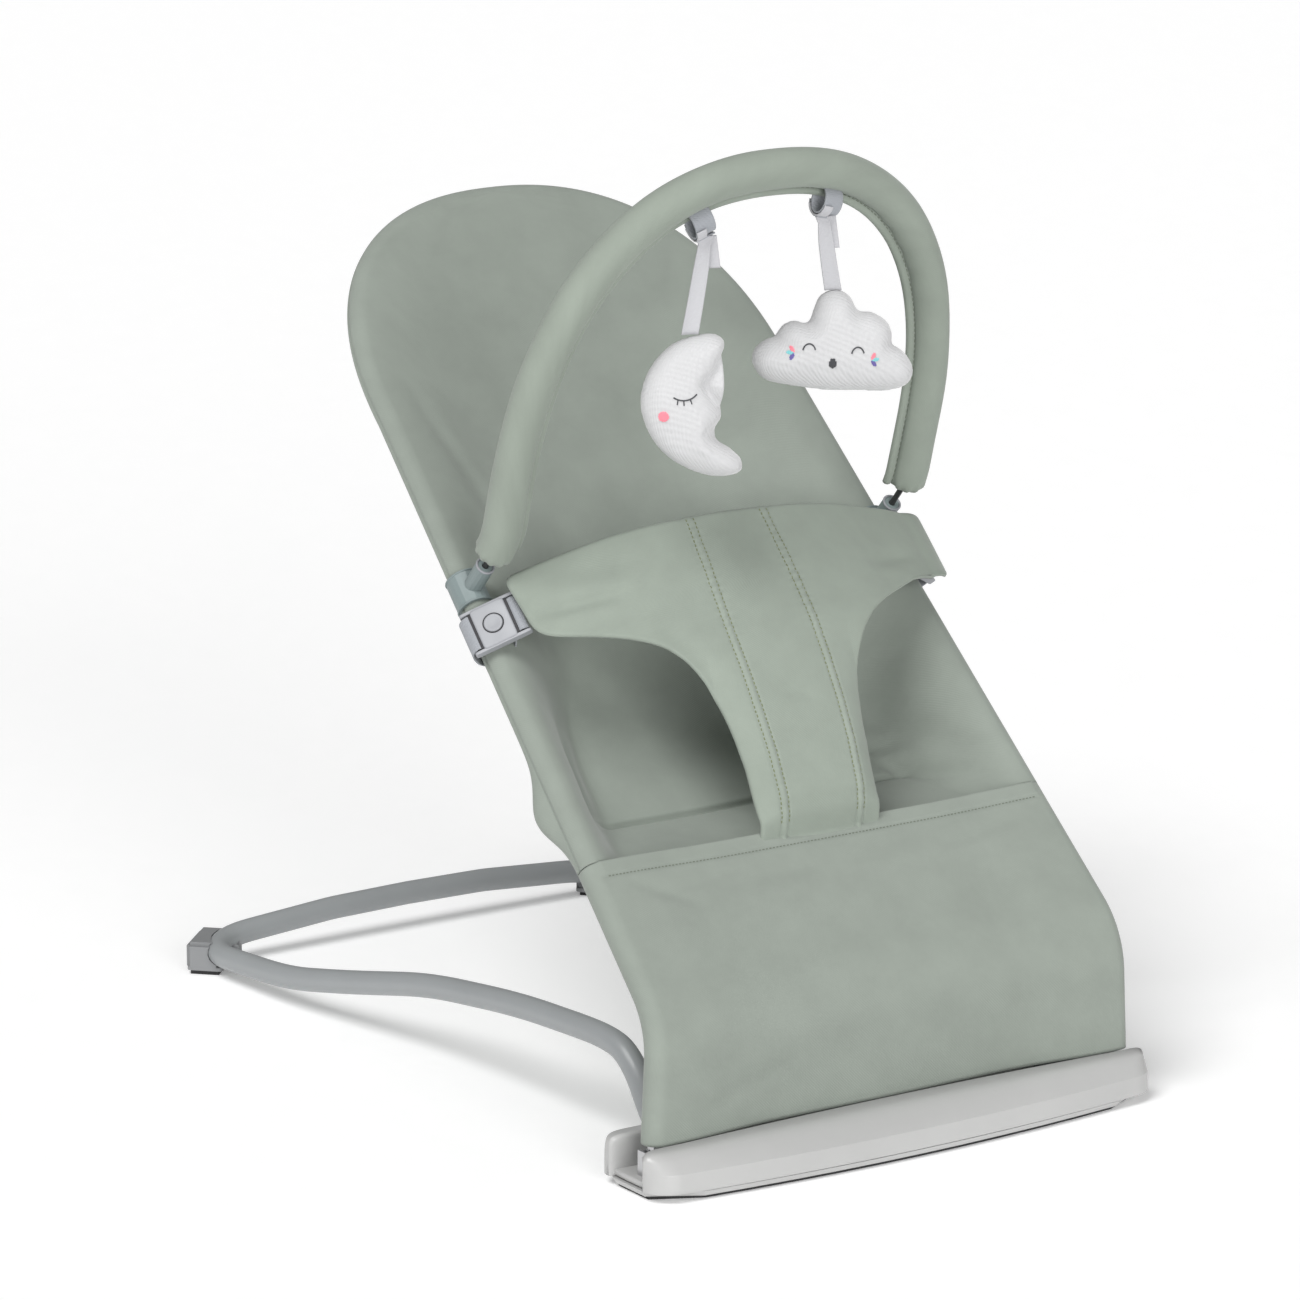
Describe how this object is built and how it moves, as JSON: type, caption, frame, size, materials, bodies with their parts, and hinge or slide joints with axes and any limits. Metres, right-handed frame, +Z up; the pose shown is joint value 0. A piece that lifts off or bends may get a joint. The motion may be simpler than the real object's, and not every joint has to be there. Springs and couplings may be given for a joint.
{
  "type": "baby bouncer seat",
  "caption": "Reclining fabric bouncer seat on a bent-tube base, with a harness, buckles and a removable padded toy bar carrying plush toys",
  "frame": {"origin": "on the floor under the middle of the front foot plate", "axes": "+Z up, +Y from the foot plate to the rear, +X across, to the right seen from the front"},
  "size_m": [0.436, 0.7047, 0.6913],
  "materials": {
    "painted_tube": "satin grey powder coat",
    "gloss_plate": "glossy light grey",
    "dark_rubber": "matt black",
    "grey_plastic": "matt grey-green",
    "bright_steel": "plain",
    "sage_fabric": "sage green woven cotton",
    "pale_webbing": "pale grey webbing",
    "buckle_plastic": "satin lilac grey",
    "dark_wire": "dark coated spring wire",
    "white_plush": "short white plush"
  },
  "bodies": {
    "base": {"plate_grip": "dark_rubber", "plate_tray": "gloss_plate", "plate_cover": "gloss_plate", "base_frame": "painted_tube", "leg_clamp_left": "grey_plastic", "leg_clamp_right": "grey_plastic", "hinge_bracket_left": "bright_steel", "hinge_bracket_right": "bright_steel", "hinge_pin_left": "bright_steel", "hinge_pin_right": "bright_steel", "rear_foot_left": "grey_plastic", "rear_foot_right": "grey_plastic", "foot_pad_left": "dark_rubber", "foot_pad_right": "dark_rubber"},
    "seat": {"seat_frame": "painted_tube", "hinge_knuckle_left": "bright_steel", "hinge_knuckle_right": "bright_steel", "cover_sleeve": "sage_fabric", "leg_panel": "sage_fabric", "seat_pocket": "sage_fabric", "back_panel": "sage_fabric", "harness": "sage_fabric", "harness_strap_left": "pale_webbing", "harness_strap_right": "pale_webbing", "buckle_left": "buckle_plastic", "buckle_right": "buckle_plastic", "toy_bar_clip_left": "grey_plastic", "toy_bar_clip_right": "grey_plastic"},
    "button_left": {"buckle_button_left": "buckle_plastic"},
    "button_right": {"buckle_button_right": "buckle_plastic"},
    "toy_bar": {"toy_bar_wire": "dark_wire", "toy_bar_sleeve": "sage_fabric"},
    "moon": {"moon_loop": "pale_webbing", "moon_strap": "sage_fabric", "moon_toy": "white_plush"},
    "cloud": {"cloud_loop": "pale_webbing", "cloud_strap": "sage_fabric", "cloud_toy": "white_plush"}
  },
  "joints": [
    {"name": "seat_recline", "type": "hinge", "parent": "base", "child": "seat", "pos_m": [0, 0.0165, 0.024], "axis": [1, 0, 0], "range_deg": [-42, 0]},
    {"name": "button_press_left", "type": "slide", "parent": "seat", "child": "button_left", "axis": [0.6011, 0.5183, -0.6083], "range_m": [0, 0.002], "stiffness_N_per_m": 400},
    {"name": "button_press_right", "type": "slide", "parent": "seat", "child": "button_right", "axis": [-0.6011, 0.5183, -0.6083], "range_m": [0, 0.002], "stiffness_N_per_m": 400},
    {"name": "toy_bar_pull", "type": "slide", "parent": "seat", "child": "toy_bar", "axis": [0, -0.6756, 0.7373], "range_m": [0, 0.025]},
    {"name": "moon_swing", "type": "hinge", "parent": "toy_bar", "child": "moon", "pos_m": [-0.068, 0.16851, 0.66653], "axis": [0.9301, -0.1074, 0.3513], "range_deg": [-25, 25]},
    {"name": "cloud_swing", "type": "hinge", "parent": "toy_bar", "child": "cloud", "pos_m": [0.054, 0.16713, 0.67106], "axis": [0.9618, 0.08, -0.2618], "range_deg": [-25, 25]}
  ]
}
